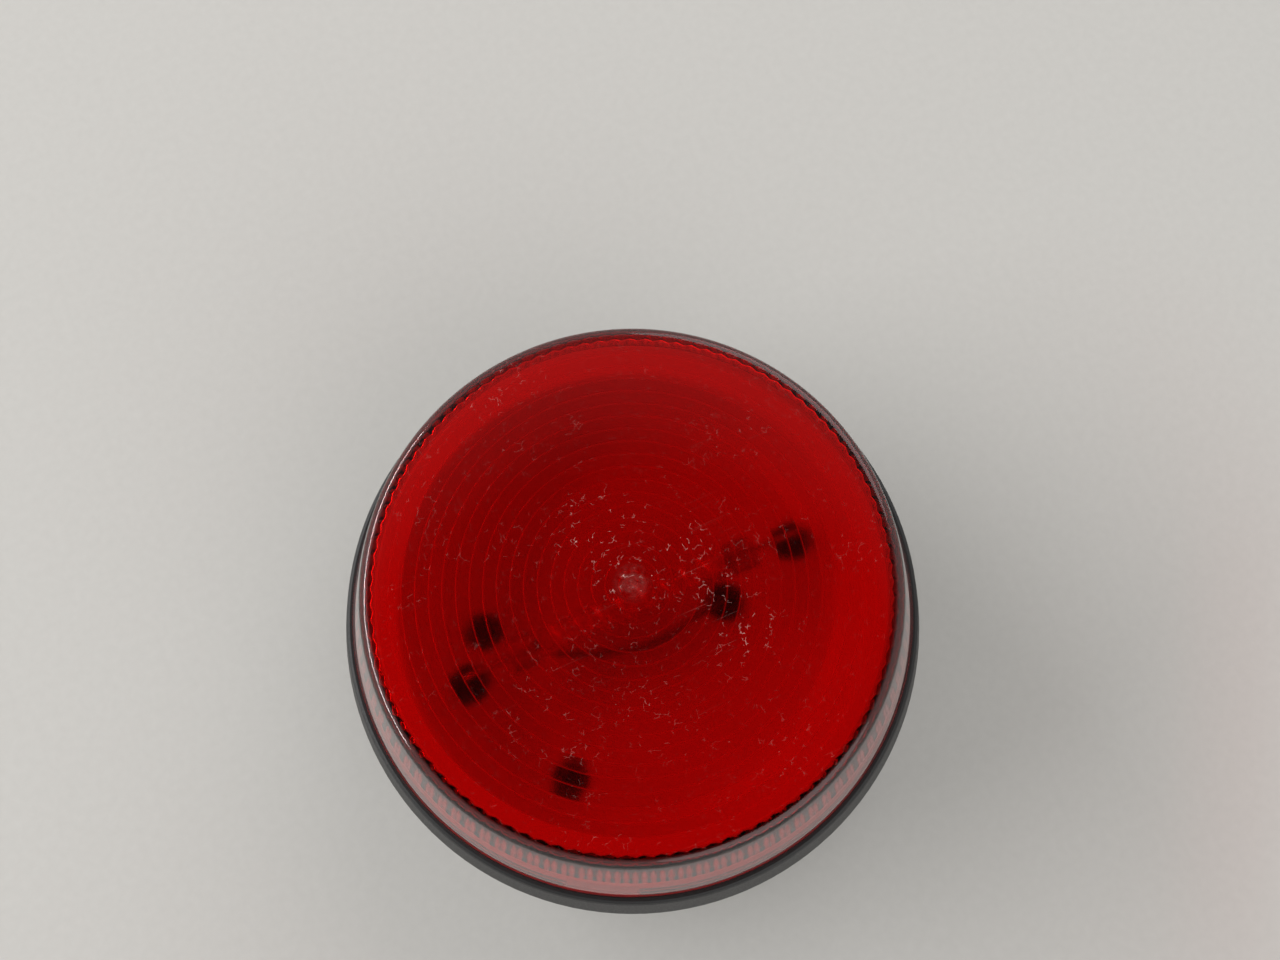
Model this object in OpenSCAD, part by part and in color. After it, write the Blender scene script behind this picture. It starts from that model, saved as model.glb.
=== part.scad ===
// Low profile xenon warning beacon with a twist-off Fresnel lens.
// Origin at the centre of the underside of the base gasket, +Z up the lens axis.
// The flash tube lies along X. Millimetres.

/* [Lens] */
// Diameter of the lens at its flat top
lens_top_d = 87.6; // [84:0.2:90]
// Diameter of the lens at its lower edge
lens_low_d = 99.6; // [98:0.2:101]
// Height of the lens from its lower edge to its crown
lens_h = 21.7; // [20:0.1:23]
// Wall of the lens behind the flutes
lens_wall = 2.1; // [1.8:0.1:2.3]
// Radius of the rounded rim round the top
rim_r = 2; // [1:0.1:2.5]
// Rise of the top in its middle
crown_rise = 0.5; // [0.1:0.1:0.8]
// Spacing of the prism rings under the top
ring_pitch = 2.2; // [2:0.1:2.3]
// Number of prism rings
ring_count = 18; // [10:1:18]
// Focal length of the prism rings
ring_focus = 600; // [300:20:900]
// Number of upright flutes inside the side wall
flute_count = 100; // [60:2:120]
// Depth of each flute
flute_depth = 0.35; // [0.2:0.05:0.7]

/* [Base] */
// Largest diameter of the base
base_d = 106; // [105:0.5:110]
// Height from the mounting surface to the crown of the lens
total_h = 68; // [66:1:74]
// Thickness of the gasket pad under the base
gasket_t = 2.4; // [1.5:0.1:3]
// Wall of the outer skirt
skirt_wall = 2.4; // [2:0.1:3]
// Number of ribs between the skirt and the inner cup
rib_count = 12; // [6:1:18]
// Pitch circle of the threaded inserts
insert_pcd = 70; // [66:1:72]
// Tapping diameter of an M5 insert
insert_bore_d = 4.2; // [4:0.1:4.4]
// Bore of the rubber cable inlet
cable_d = 6.6; // [5:0.1:7]

/* [Bayonet] */
// Number of bayonet lugs on the lens
lug_count = 3; // [2:1:4]
// Width of a lens lug, in degrees
lug_angle = 14; // [10:1:16]
// Width of a hook on the dish's collar, in degrees
hook_angle = 23; // [20:1:26]

/* [Light unit] */
// Outer diameter of the flash tube
tube_d = 5; // [4:0.5:6]
// Length of the flash tube's glass
tube_len = 43; // [34:1:44]
// Height of the tube's axis above the dish floor
tube_rise = 9; // [7:0.5:11]
// Distance of the tube's lead holes from the lens axis
lead_r = 31.4; // [27:0.2:32]
// Diameter of the open holes in the dish
dish_hole_d = 7.2; // [5:0.2:8]
// Turns of trigger wire round the tube
trigger_turns = 8; // [4:1:10]

/* [Circuit] */
// Diameter of the circuit board
board_d = 77; // [76:1:78]
// Thickness of the circuit board
board_t = 1.6; // [1:0.2:2]

/* [Hidden] */
$fn = 96;

// Lens: radii of its outer taper and of the walls inside it
lens_low_z = total_h - lens_h;
lens_taper = (lens_low_d - lens_top_d) / 2 / lens_h;
taper_angle = atan(lens_taper);
top_t = 2.6;
under_z = total_h - top_t;
border_drop = 0.15;
riser_w = 0.1;
band_z = lens_low_z + 0.4 * lens_h;
edge_r = 0.4;
lens_index = 1.585;
function lens_r(z) = lens_top_d / 2 + (total_h - z) * lens_taper;
function valley_r(z) = lens_r(z) - lens_wall;
function crest_r(z) = valley_r(z) - flute_depth;
function band_r(z) = valley_r(z) + 0.15;

// Base: an inner cup for the works and an outer skirt, joined by the ledge
ledge_z = lens_low_z - 0.7;
floor_t = 3;
floor_z = gasket_t + floor_t;
cup_wall = 2;
cup_r = 43.4;
cup_in_r = cup_r - cup_wall;
cup_top_z = 52;
ledge_r = lens_low_d / 2 + 1;
ledge_t = 2.6;
skirt_top_z = 36.8;
lip_z = 32.5;
lower_r = base_d / 2 - 1.6;
foot_r = lower_r - 0.9;
foot_chamfer = 0.8;
rib_t = 2;

// Seal: a flat ring in a recess in the ledge, under the lens edge
seal_in_r = 45.6;
seal_out_r = 49.3;
seal_t = 1.2;
recess_depth = 0.9;
recess_clear = 0.1;

// Collar of the dish, which goes down outside the cup and carries the bayonet hooks
collar_r = 44.6;
collar_clear = 0.15;
collar_low_z = ledge_z + 0.1;
collar_foot_r = 45.4;
collar_foot_z = collar_low_z + 1;

// Bayonet: lugs inside the lens pass under the hooks
lug_low_z = 47.4;
lug_h = 2.2;
lug_in_r = collar_r + 0.35;
hook_low_z = lug_low_z + lug_h + 0.4;
hook_h = 2;
hook_r = collar_r + 1.35;
stop_angle = 3;
stop_gap_angle = 0.5;

// Inserts and cable inlet in the floor
insert_r = 3.4;
insert_len = 8.6;
insert_boss_r = 5.6;
insert_first_angle = 30;
insert_boss_top_z = gasket_t + insert_len + 0.6;
grommet_seat_r = 6;
grommet_flange_r = 8;
grommet_flange_t = 1.2;

// Reflector dish
dish_t = 1.6;
dish_z = 37;
dish_floor_r = 35.8;
dish_wall_r = 40.9;
dish_rim_t = 1.2;
pocket_r = 3.4;
pocket_depth = 3;
pocket_wall = 1.3;
pocket_floor_t = 1.6;
pillar_r = 3.4;
pillar_top_z = dish_z - pocket_depth - pocket_floor_t;
// Fixing screws of the dish, as [distance from the axis, angle]
dish_fixings = [[26.7, 163.5], [31, 225.7]];
// Hole that lets the trigger lead through the dish
trigger_hole = [15.8, -5.1];

// Flash tube
tube_z = dish_z + tube_rise;
tube_bore_r = 1.7;
cap_len = 4.5;
cap_cover = 3;
cap_wall = 0.4;
lead_wire_r = 0.5;
lead_bend_r = 1.5;
trigger_wire_r = 0.15;
trigger_lead_r = 0.6;
coil_h = 13;
coil_r = 4.5;

// Screws
dish_screw_r = 1.5;
board_screw_r = 1.25;
recess_arm_w = 0.8;

// Circuit board and the bosses it is screwed to
board_z = 12;
board_top = board_z + board_t;
board_boss_r = 3.2;
board_boss_ring_r = 34.5;
board_boss_angles = [75, 200, 315];
cable_slot_r = 5;
core_w = 20;
core_d = 5.5;
core_h = 16;
core_leg = 5.2;
core_side = 2.6;
core_yoke = 2.6;
core_lift = 1.2;
core_pos = [3, -24];
sink_pos = [21, 19];
sink_w = 14;
sink_d = 9;
sink_h = 19;
sink_t = 1.6;
screw_hole_h = 16.5;
terminal_pos = [-13, -6];
terminal_pitch = 5;
screw_well_h = 5.4;

module at_polar(r, angle) {
    rotate([0, 0, angle]) translate([r, 0, 0]) children();
}

module ring(r_out, r_in, h) {
    difference() {
        cylinder(r = r_out, h = h);
        translate([0, 0, -1]) cylinder(r = r_in, h = h + 2);
    }
}

// Sector of a square-edged ring, from angle a0 to a1
module sector(r_in, r_out, h, a0, a1) {
    rotate([0, 0, a0])
        rotate_extrude(angle = a1 - a0)
            translate([r_in, 0]) square([r_out - r_in, h]);
}

// Rounded rectangle in the plane, with its corners as true arcs
module rounded_rect(w, d, r) {
    square([w - 2 * r, d], center = true);
    square([w, d - 2 * r], center = true);
    for (x = [-1, 1], y = [-1, 1])
        translate([x * (w / 2 - r), y * (d / 2 - r)]) circle(r = r, $fn = 24);
}

// Smooth route through points: Catmull-Rom spline, `steps` pieces to a span
function spline_point(a, b, c, d, t) =
    0.5 * ((2 * b) + (c - a) * t + (2 * a - 5 * b + 4 * c - d) * t * t
    + (3 * b - a - 3 * c + d) * t * t * t);
function spline(p, steps) = concat(
    [for (i = [0 : len(p) - 2], k = [0 : steps - 1])
        spline_point(p[max(i - 1, 0)], p[i], p[i + 1], p[min(i + 2, len(p) - 1)], k / steps)],
    [p[len(p) - 1]]
);

function unit(v) = v / norm(v);
function heading(p, i) = unit(p[min(i + 1, len(p) - 1)] - p[max(i - 1, 0)]);

// Round tube along a route. No stretch of the route may run along `side`.
module swept_tube(route, r, sides, side) {
    last = len(route) - 1;
    rings = [for (i = [0 : last], k = [0 : sides - 1])
        let (h = heading(route, i), u = unit(cross(side, h)), v = cross(h, u),
             a = 360 * k / sides)
        route[i] + r * (cos(a) * u + sin(a) * v)];
    walls = [for (i = [0 : last - 1], k = [0 : sides - 1], half = [0 : 1])
        let (n = (k + 1) % sides, a = i * sides, b = a + sides)
        half == 0 ? [a + k, b + k, b + n] : [a + k, b + n, a + n]];
    ends = [for (k = [1 : sides - 2], side_end = [0 : 1])
        let (b = last * sides)
        side_end == 0 ? [0, k, k + 1] : [b, b + k + 1, b + k]];
    polyhedron(points = rings, faces = concat(walls, ends), convexity = 6);
}

// Outer side of the lens: crown, rounded rim, taper and softened lower edge
function lens_outline() =
    let (
        rim_z = total_h - crown_rise - rim_r,
        rim_x = lens_r(rim_z) - rim_r / cos(taper_angle),
        crown_steps = 5,
        rim_steps = 6
    )
    concat(
        [for (i = [0 : crown_steps])
            [rim_x * i / crown_steps, total_h - crown_rise * pow(i / crown_steps, 2)]],
        [for (i = [1 : rim_steps])
            let (a = 90 - (90 - taper_angle) * i / rim_steps)
            [rim_x + rim_r * cos(a), rim_z + rim_r * sin(a)]],
        [[lens_r(lens_low_z + edge_r), lens_low_z + edge_r],
         [lens_r(lens_low_z) - edge_r, lens_low_z],
         [0, lens_low_z]]
    );

// Depth of a prism ring: its face slopes as a thin lens of ring_focus would
function ring_depth(i) =
    max(0.1, ring_pitch * ring_pitch * (i + 0.5) / (ring_focus * (lens_index - 1)));

// Hollow inside the lens: prism rings above, plain tapered wall below
function hollow_outline() =
    let (last_r = ring_pitch * ring_count, below_z = lens_low_z - 1)
    concat(
        [[0, under_z - ring_depth(0)]],
        [for (i = [0 : ring_count - 1], end = [0 : 1])
            end == 0
                ? [i * ring_pitch + riser_w, under_z - ring_depth(i)]
                : [(i + 1) * ring_pitch, under_z]],
        [[last_r + riser_w, under_z - border_drop],
         [crest_r(under_z) - 0.3, under_z - border_drop],
         [crest_r(band_z) - 0.3, band_z],
         [band_r(band_z), band_z],
         [band_r(below_z), below_z],
         [0, below_z]]
    );

// Ring of upright flutes, cut up into the lens wall from the plain band
module flute_cutter() {
    low_z = band_z - 0.2;
    core_r = ring_pitch * ring_count + 0.8;
    shrink = crest_r(under_z) / crest_r(low_z);
    flutes = [for (i = [0 : 2 * flute_count - 1])
        let (r = i % 2 == 0 ? crest_r(low_z) : crest_r(low_z) + flute_depth,
             a = 180 * i / flute_count)
        [r * cos(a), r * sin(a)]];
    translate([0, 0, low_z])
        linear_extrude(height = under_z - low_z, scale = shrink)
            difference() {
                polygon(flutes);
                circle(r = core_r / shrink, $fn = 64);
            }
}

// Witness of the moulding gate: a fine ring round the gate's stub
module gate_mark() {
    mark_r = 3.4;
    mark_w = 0.5;
    stub_r = 0.9;
    ring(mark_r, mark_r - mark_w, 1);
    cylinder(r = stub_r, h = 1);
}

module lens() {
    color([0.72, 0.02, 0.03, 0.6]) {
        difference() {
            rotate_extrude() polygon(lens_outline());
            rotate_extrude() polygon(hollow_outline());
            flute_cutter();
            translate([0, 0, total_h - 0.25]) gate_mark();
        }
        for (i = [0 : lug_count - 1])
            translate([0, 0, lug_low_z])
                sector(lug_in_r, band_r(lug_low_z) + 1, lug_h,
                    360 / lug_count * i - lug_angle / 2,
                    360 / lug_count * i + lug_angle / 2);
    }
}

module lens_seal() {
    color([0.85, 0.84, 0.8])
        translate([0, 0, ledge_z - recess_depth]) ring(seal_out_r, seal_in_r, seal_t);
}

// Floor, cup wall, ledge with the seal's recess, and outer skirt with its lip
function base_outline() =
    let (
        ledge_low_z = ledge_z - ledge_t,
        recess_z = ledge_z - recess_depth,
        recess_in = seal_in_r - recess_clear,
        recess_out = seal_out_r + recess_clear
    )
    [
        [0, gasket_t],
        [cup_r, gasket_t],
        [cup_r, ledge_low_z],
        [ledge_r - skirt_wall, ledge_low_z],
        [base_d / 2 - skirt_wall, skirt_top_z],
        [base_d / 2 - skirt_wall, lip_z + 1],
        [lower_r - skirt_wall, lip_z - 1],
        [foot_r - skirt_wall, gasket_t],
        [foot_r - foot_chamfer, gasket_t],
        [foot_r, gasket_t + foot_chamfer],
        [lower_r, lip_z - 0.8],
        [base_d / 2 - 0.5, lip_z],
        [base_d / 2, lip_z + 0.5],
        [base_d / 2, skirt_top_z - 0.4],
        [base_d / 2 - 0.15, skirt_top_z + 0.3],
        [ledge_r + 0.2, ledge_z - 0.7],
        [ledge_r - 0.05, ledge_z - 0.2],
        [ledge_r - 0.5, ledge_z],
        [recess_out, ledge_z],
        [recess_out, recess_z],
        [recess_in, recess_z],
        [recess_in, ledge_z],
        [cup_r, ledge_z],
        [cup_r, cup_top_z - 0.3],
        [cup_r - 0.3, cup_top_z],
        [cup_in_r, cup_top_z],
        [cup_in_r, floor_z],
        [0, floor_z]
    ];

module skirt_ribs() {
    rib_low_z = gasket_t + 1;
    rib_high_z = lip_z - 1.5;
    for (i = [0 : rib_count - 1])
        rotate([0, 0, 360 / rib_count * (i + 0.5)])
            translate([cup_r - 0.5, -rib_t / 2, rib_low_z])
                cube([lower_r - skirt_wall - cup_r + 1, rib_t, rib_high_z - rib_low_z]);
}

// Bosses for the inserts and the board, and pillars for the dish, up from the floor
module floor_bosses() {
    root_z = floor_z - 1;
    for (i = [0 : 2])
        at_polar(insert_pcd / 2, insert_first_angle + 120 * i)
            translate([0, 0, root_z]) cylinder(r = insert_boss_r, h = insert_boss_top_z - root_z);
    for (a = board_boss_angles)
        at_polar(board_boss_ring_r, a)
            translate([0, 0, root_z]) cylinder(r = board_boss_r, h = board_z - root_z);
    for (f = dish_fixings)
        at_polar(f[0], f[1])
            translate([0, 0, root_z]) cylinder(r = pillar_r, h = pillar_top_z - root_z);
}

module base_housing() {
    screw_depth = 8;
    color([0.07, 0.07, 0.075])
        difference() {
            union() {
                rotate_extrude() polygon(base_outline());
                skirt_ribs();
                floor_bosses();
            }
            translate([0, 0, gasket_t - 1]) cylinder(r = grommet_seat_r, h = floor_t + 2);
            for (i = [0 : 2])
                at_polar(insert_pcd / 2, insert_first_angle + 120 * i)
                    translate([0, 0, gasket_t - 1]) cylinder(r = insert_r, h = insert_len + 1);
            for (a = board_boss_angles)
                at_polar(board_boss_ring_r, a)
                    translate([0, 0, board_z - screw_depth + 1])
                        cylinder(r = board_screw_r, h = screw_depth);
            for (f = dish_fixings)
                at_polar(f[0], f[1])
                    translate([0, 0, pillar_top_z - screw_depth])
                        cylinder(r = dish_screw_r, h = screw_depth + 1);
        }
}

module base_gasket() {
    bolt_hole_r = 3;
    inlet_r = 9.5;
    color([0.13, 0.13, 0.13])
        difference() {
            cylinder(r = foot_r - 0.3, h = gasket_t);
            translate([0, 0, -1]) cylinder(r = inlet_r, h = gasket_t + 2);
            for (i = [0 : 2])
                at_polar(insert_pcd / 2, insert_first_angle + 120 * i)
                    translate([0, 0, -1]) cylinder(r = bolt_hole_r, h = gasket_t + 2);
        }
}

// Brass insert with a knurl shown as two plain grooves
module threaded_inserts() {
    groove = 0.5;
    color([0.78, 0.62, 0.3])
        for (i = [0 : 2])
            at_polar(insert_pcd / 2, insert_first_angle + 120 * i)
                translate([0, 0, gasket_t])
                    difference() {
                        cylinder(r = insert_r, h = insert_len);
                        translate([0, 0, -1]) cylinder(d = insert_bore_d, h = insert_len + 2);
                        for (z = [2.4, 5.2])
                            translate([0, 0, z]) ring(insert_r + 1, insert_r - groove, 1);
                    }
}

module cable_grommet() {
    low_z = gasket_t - grommet_flange_t;
    color([0.1, 0.1, 0.1])
        difference() {
            union() {
                translate([0, 0, low_z]) cylinder(r = grommet_flange_r, h = grommet_flange_t);
                translate([0, 0, gasket_t]) cylinder(r = grommet_seat_r, h = floor_t);
                translate([0, 0, floor_z])
                    cylinder(r1 = grommet_flange_r, r2 = grommet_flange_r - 1, h = 1.4);
            }
            translate([0, 0, -1]) cylinder(d = cable_d, h = floor_z + 5);
        }
}

// White dish: floor, sloping wall, a rim that sits on the cup, and the collar outside it
function dish_outline() = [
    [0, dish_z],
    [dish_floor_r - 1, dish_z],
    [dish_floor_r + 0.1, dish_z + 0.5],
    [dish_floor_r + 0.9, dish_z + 1.8],
    [dish_wall_r - dish_t, cup_top_z + dish_rim_t - 0.6],
    [dish_wall_r - dish_t + 0.5, cup_top_z + dish_rim_t],
    [collar_r - 0.4, cup_top_z + dish_rim_t],
    [collar_r, cup_top_z + dish_rim_t - 0.4],
    [collar_r, collar_foot_z],
    [collar_foot_r, collar_foot_z],
    [collar_foot_r, collar_low_z],
    [cup_r + collar_clear, collar_low_z],
    [cup_r + collar_clear, cup_top_z],
    [dish_wall_r, cup_top_z],
    [dish_floor_r + 2.3, dish_z + 1.2],
    [dish_floor_r + 1, dish_z - dish_t + 0.6],
    [dish_floor_r - 0.4, dish_z - dish_t],
    [0, dish_z - dish_t]
];

// Three hooks round the collar, each with a stop at its end
module bayonet_hooks() {
    first = -lug_angle / 2 - stop_gap_angle - stop_angle;
    for (i = [0 : lug_count - 1]) {
        start = 360 / lug_count * i + first;
        translate([0, 0, hook_low_z])
            sector(collar_r - 0.5, hook_r, hook_h, start, start + hook_angle);
        translate([0, 0, collar_low_z + 0.4])
            sector(collar_r - 0.5, hook_r, hook_low_z - collar_low_z, start, start + stop_angle);
    }
}

module reflector_dish() {
    color([0.93, 0.93, 0.9])
        difference() {
            union() {
                rotate_extrude() polygon(dish_outline());
                bayonet_hooks();
                for (f = dish_fixings)
                    at_polar(f[0], f[1])
                        translate([0, 0, pillar_top_z])
                            cylinder(r = pocket_r + pocket_wall, h = dish_z - pillar_top_z - 0.5);
            }
            for (f = dish_fixings)
                at_polar(f[0], f[1]) {
                    translate([0, 0, dish_z - pocket_depth]) cylinder(r = pocket_r, h = pocket_depth + 1);
                    translate([0, 0, pillar_top_z - 1]) cylinder(r = dish_screw_r + 0.2, h = 4);
                }
            for (x = [-1, 1])
                translate([x * lead_r, 0, dish_z - dish_t - 1])
                    cylinder(d = dish_hole_d, h = dish_t + 2);
            translate([trigger_hole[0], trigger_hole[1], dish_z - dish_t - 1])
                cylinder(d = dish_hole_d, h = dish_t + 2);
        }
}

// Cross recessed pan head screw with its head's underside at z = 0
module pan_screw(shank_r, head_r, head_h, length) {
    difference() {
        union() {
            translate([0, 0, -length]) cylinder(r = shank_r, h = length + head_h * 0.3);
            rotate_extrude() polygon([
                [0, 0], [head_r, 0], [head_r, head_h * 0.4], [head_r * 0.85, head_h * 0.8],
                [head_r * 0.55, head_h], [0, head_h]
            ]);
        }
        for (a = [0, 90])
            rotate([0, 0, a])
                translate([-head_r * 0.55, -recess_arm_w / 2, head_h * 0.45])
                    cube([head_r * 1.1, recess_arm_w, head_h]);
    }
}

module reflector_screws() {
    color([0.16, 0.15, 0.15])
        for (f = dish_fixings)
            at_polar(f[0], f[1])
                translate([0, 0, dish_z - pocket_depth]) pan_screw(dish_screw_r, 2.8, 2.1, 8);
}

module board_screws() {
    color([0.75, 0.75, 0.77])
        for (a = board_boss_angles)
            at_polar(board_boss_ring_r, a)
                translate([0, 0, board_top]) pan_screw(board_screw_r, 2.5, 1.8, 7);
}

module flash_tube() {
    color([0.85, 0.9, 0.95, 0.5])
        translate([-tube_len / 2, 0, tube_z]) rotate([0, 90, 0])
            ring(tube_d / 2, tube_bore_r, tube_len);
}

// End cap that covers the glass, with the electrode standing inside the bore
module tube_electrodes() {
    bore_clear = 0.05;
    color([0.3, 0.29, 0.28])
        for (s = [0, 180])
            rotate([0, 0, s])
                translate([tube_len / 2 - cap_cover, 0, tube_z]) rotate([0, 90, 0]) {
                    difference() {
                        cylinder(r = tube_d / 2 + cap_wall, h = cap_len);
                        translate([0, 0, -1])
                            cylinder(r = tube_d / 2 + bore_clear, h = cap_cover + 1 + bore_clear);
                    }
                    translate([0, 0, -1.5]) cylinder(r = 1.1, h = cap_len + 0.5);
                }
}

module tube_leads() {
    start_x = tube_len / 2 - cap_cover + cap_len;
    bend_x = lead_r - lead_bend_r;
    foot_z = board_z - 1;
    color([0.62, 0.6, 0.56])
        for (s = [0, 180])
            rotate([0, 0, s]) {
                translate([start_x, 0, tube_z]) rotate([0, 90, 0])
                    cylinder(r = lead_wire_r, h = bend_x - start_x, $fn = 24);
                translate([bend_x, 0, tube_z - lead_bend_r]) rotate([90, 0, 0])
                    rotate_extrude(angle = 90)
                        translate([lead_bend_r, 0]) circle(r = lead_wire_r, $fn = 24);
                translate([lead_r, 0, foot_z])
                    cylinder(r = lead_wire_r, h = tube_z - lead_bend_r - foot_z, $fn = 24);
            }
}

// Trigger wire: a helix round the glass between the end caps
module trigger_winding() {
    helix_r = tube_d / 2 + trigger_wire_r + 0.05;
    span = tube_len - 2 * cap_cover - 5;
    steps = 24;
    turns = [for (i = [0 : trigger_turns * steps])
        let (a = 360 * i / steps, x = -span / 2 + span * i / (trigger_turns * steps))
        [x, helix_r * sin(a), tube_z - helix_r * cos(a)]];
    tail = 1;
    route = concat(
        [turns[0] + [0, -tail, 0]],
        turns,
        [turns[len(turns) - 1] + [0, tail, 0]]
    );
    gaps = [for (i = [0 : len(turns) - 1], j = [i + steps / 2 : len(turns) - 1])
        norm(turns[i] - turns[j]) - 2 * trigger_wire_r];
    echo(str("least gap between turns of the trigger wire: ", min(gaps), " mm"));
    color([0.7, 0.68, 0.62]) swept_tube(route, trigger_wire_r, 6, [1, 0, 0]);
}

// Trigger lead: sleeved wire from the winding's start, down to the coil
module trigger_lead() {
    route = [
        [-16, -1, 43.3], [-15.4, -2, 42.4], [-12.5, -3.3, 41.2], [-7.2, -5.2, 40.4],
        [-1.5, -6.8, 40.2], [4.2, -6.8, 40.8], [9.2, -5.9, 41.6], [13.2, -5.2, 41.2],
        [15.5, -5.1, 38.6], [15.8, -5.1, 35], [15.8, -5.1, 31], [15.8, -5.1, 27.4]
    ];
    color([0.55, 0.53, 0.5]) swept_tube(spline(route, 3), trigger_lead_r, 8, [1, 2, 0]);
}

module circuit_board() {
    pillar_clear = 0.8;
    color([0.1, 0.32, 0.16])
        difference() {
            translate([0, 0, board_z]) cylinder(d = board_d, h = board_t);
            translate([0, 0, board_z - 1]) cylinder(r = cable_slot_r, h = board_t + 2);
            for (f = dish_fixings)
                at_polar(f[0], f[1])
                    translate([0, 0, board_z - 1])
                        cylinder(r = pillar_r + pillar_clear, h = board_t + 2);
            for (a = board_boss_angles)
                at_polar(board_boss_ring_r, a)
                    translate([0, 0, board_z - 1])
                        cylinder(r = board_screw_r + 0.2, h = board_t + 2);
            for (x = [-1, 1])
                translate([x * lead_r, 0, board_z - 1])
                    cylinder(r = lead_wire_r, h = board_t + 2, $fn = 24);
        }
}

// Upright can capacitor: crimped foot, rounded shoulder and scored vent
module can_capacitor(r, h) {
    shoulder = 0.8;
    crimp_z = 1.8;
    difference() {
        rotate_extrude() polygon([
            [0, 0], [r, 0], [r, crimp_z], [r - 0.4, crimp_z + 0.4], [r - 0.4, crimp_z + 0.8],
            [r, crimp_z + 1.2], [r, h - shoulder], [r - 0.3, h - 0.25], [r - shoulder, h],
            [r - shoulder - 0.5, h], [r - shoulder - 0.6, h - 0.3], [0, h - 0.3]
        ]);
        for (a = [0, 90])
            rotate([0, 0, a])
                translate([-r * 0.55, -0.15, h - 0.5]) cube([r * 1.1, 0.3, 1]);
    }
}

module storage_capacitor() {
    color([0.1, 0.12, 0.2]) translate([2, 24.5, board_top]) can_capacitor(8, 18.6);
}

module input_capacitor() {
    color([0.08, 0.16, 0.14]) translate([-14.5, 24, board_top]) can_capacitor(5, 13);
}

// Pair of E cores that meet to close the core round the bobbin
module transformer_core() {
    window_w = (core_w - core_leg) / 2 - core_side;
    window_x = core_leg / 2 + window_w / 2;
    color([0.2, 0.2, 0.21])
        translate([core_pos[0], core_pos[1], board_top + core_lift + core_h / 2])
            difference() {
                cube([core_w, core_d, core_h], center = true);
                for (s = [-1, 1])
                    translate([s * window_x, 0, 0])
                        cube([window_w, core_d + 2, core_h - 2 * core_yoke], center = true);
            }
}

module transformer_bobbin() {
    wall = 0.7;
    flange_t = 0.9;
    flange_w = 14;
    flange_d = 13.4;
    spool_h = core_h - 2 * core_yoke - 0.2;
    slot_w = core_leg + 0.1;
    slot_d = core_d + 0.1;
    color([0.85, 0.82, 0.7])
        translate([core_pos[0], core_pos[1], board_top + core_lift + core_h / 2]) {
            difference() {
                union() {
                    cube([slot_w + 2 * wall, slot_d + 2 * wall, spool_h], center = true);
                    for (s = [-1, 1])
                        translate([0, 0, s * (spool_h - flange_t) / 2])
                            cube([flange_w, flange_d, flange_t], center = true);
                }
                cube([slot_w, slot_d, spool_h + 2], center = true);
            }
            for (x = [-1, 0, 1], y = [-1, 1])
                translate([x * 5, y * (flange_d / 2 - 0.7), -core_h / 2 - core_lift])
                    cylinder(r = 0.4, h = core_lift + core_yoke + flange_t, $fn = 16);
        }
}

module transformer_winding() {
    inner_w = core_leg + 1.6;
    inner_d = core_d + 1.6;
    height = core_h - 2 * core_yoke - 2.2;
    color([0.8, 0.62, 0.2])
        translate([core_pos[0], core_pos[1], board_top + core_lift + core_h / 2])
            difference() {
                linear_extrude(height = height, center = true) rounded_rect(13.4, 12.6, 2);
                cube([inner_w, inner_d, height + 2], center = true);
            }
}

module trigger_coil() {
    color([0.45, 0.1, 0.08])
        translate([trigger_hole[0], trigger_hole[1], board_top])
            rotate_extrude() polygon([
                [0, 0], [coil_r, 0], [coil_r, 1.2], [coil_r - 0.5, 1.6], [coil_r - 0.5, coil_h - 2],
                [coil_r, coil_h - 1.6], [coil_r, coil_h - 0.4], [coil_r - 0.4, coil_h],
                [1.6, coil_h], [1.3, coil_h + 0.8], [0, coil_h + 0.8]
            ]);
}

module switching_transistor() {
    face_y = sink_pos[1] - sink_d / 2;
    color([0.12, 0.12, 0.13])
        translate([sink_pos[0], face_y, board_top]) {
            difference() {
                translate([-5, -1.3, 4]) cube([10, 1.3, 15.4]);
                translate([0, 1, screw_hole_h]) rotate([90, 0, 0]) cylinder(r = 1.7, h = 4, $fn = 32);
            }
            translate([-5, -4.5, 4]) cube([10, 3.3, 9]);
            for (x = [-1, 0, 1])
                translate([x * 2.54 - 0.4, -3, 0]) cube([0.8, 0.5, 4.2]);
        }
}

// Bent U of sheet, standing on the board with its back to the transistor
module heatsink() {
    color([0.7, 0.71, 0.73])
        translate([sink_pos[0], sink_pos[1], board_top])
            difference() {
                translate([-sink_w / 2, -sink_d / 2, 0]) cube([sink_w, sink_d, sink_h]);
                translate([-sink_w / 2 + sink_t, -sink_d / 2 + sink_t, -1])
                    cube([sink_w - 2 * sink_t, sink_d, sink_h + 2]);
                translate([0, 0, screw_hole_h]) rotate([90, 0, 0]) cylinder(r = 1.5, h = sink_d, $fn = 32);
            }
}

module transistor_screw() {
    tab_t = 1.3;
    color([0.78, 0.78, 0.8])
        translate([sink_pos[0], sink_pos[1] - sink_d / 2 - tab_t, board_top + screw_hole_h])
            rotate([90, 0, 0]) pan_screw(1.5, 2.7, 2, 4.5);
}

// Small D shaped plastic case on three legs
module thyristor() {
    case_r = 2.4;
    leg_h = 2.5;
    color([0.1, 0.1, 0.1])
        translate([20, 5, board_top]) {
            difference() {
                translate([0, 0, leg_h]) cylinder(r = case_r, h = 4.8, $fn = 48);
                translate([-5, 1.3, leg_h - 1]) cube([10, 5, 8]);
            }
            for (x = [-1, 0, 1])
                translate([x * 1.27 - 0.2, -0.2, 0]) cube([0.4, 0.4, leg_h + 0.1]);
        }
}

module trigger_capacitor() {
    color([0.75, 0.35, 0.08])
        translate([22, -14, board_top]) linear_extrude(height = 9) rounded_rect(12, 5, 0.8);
}

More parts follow.
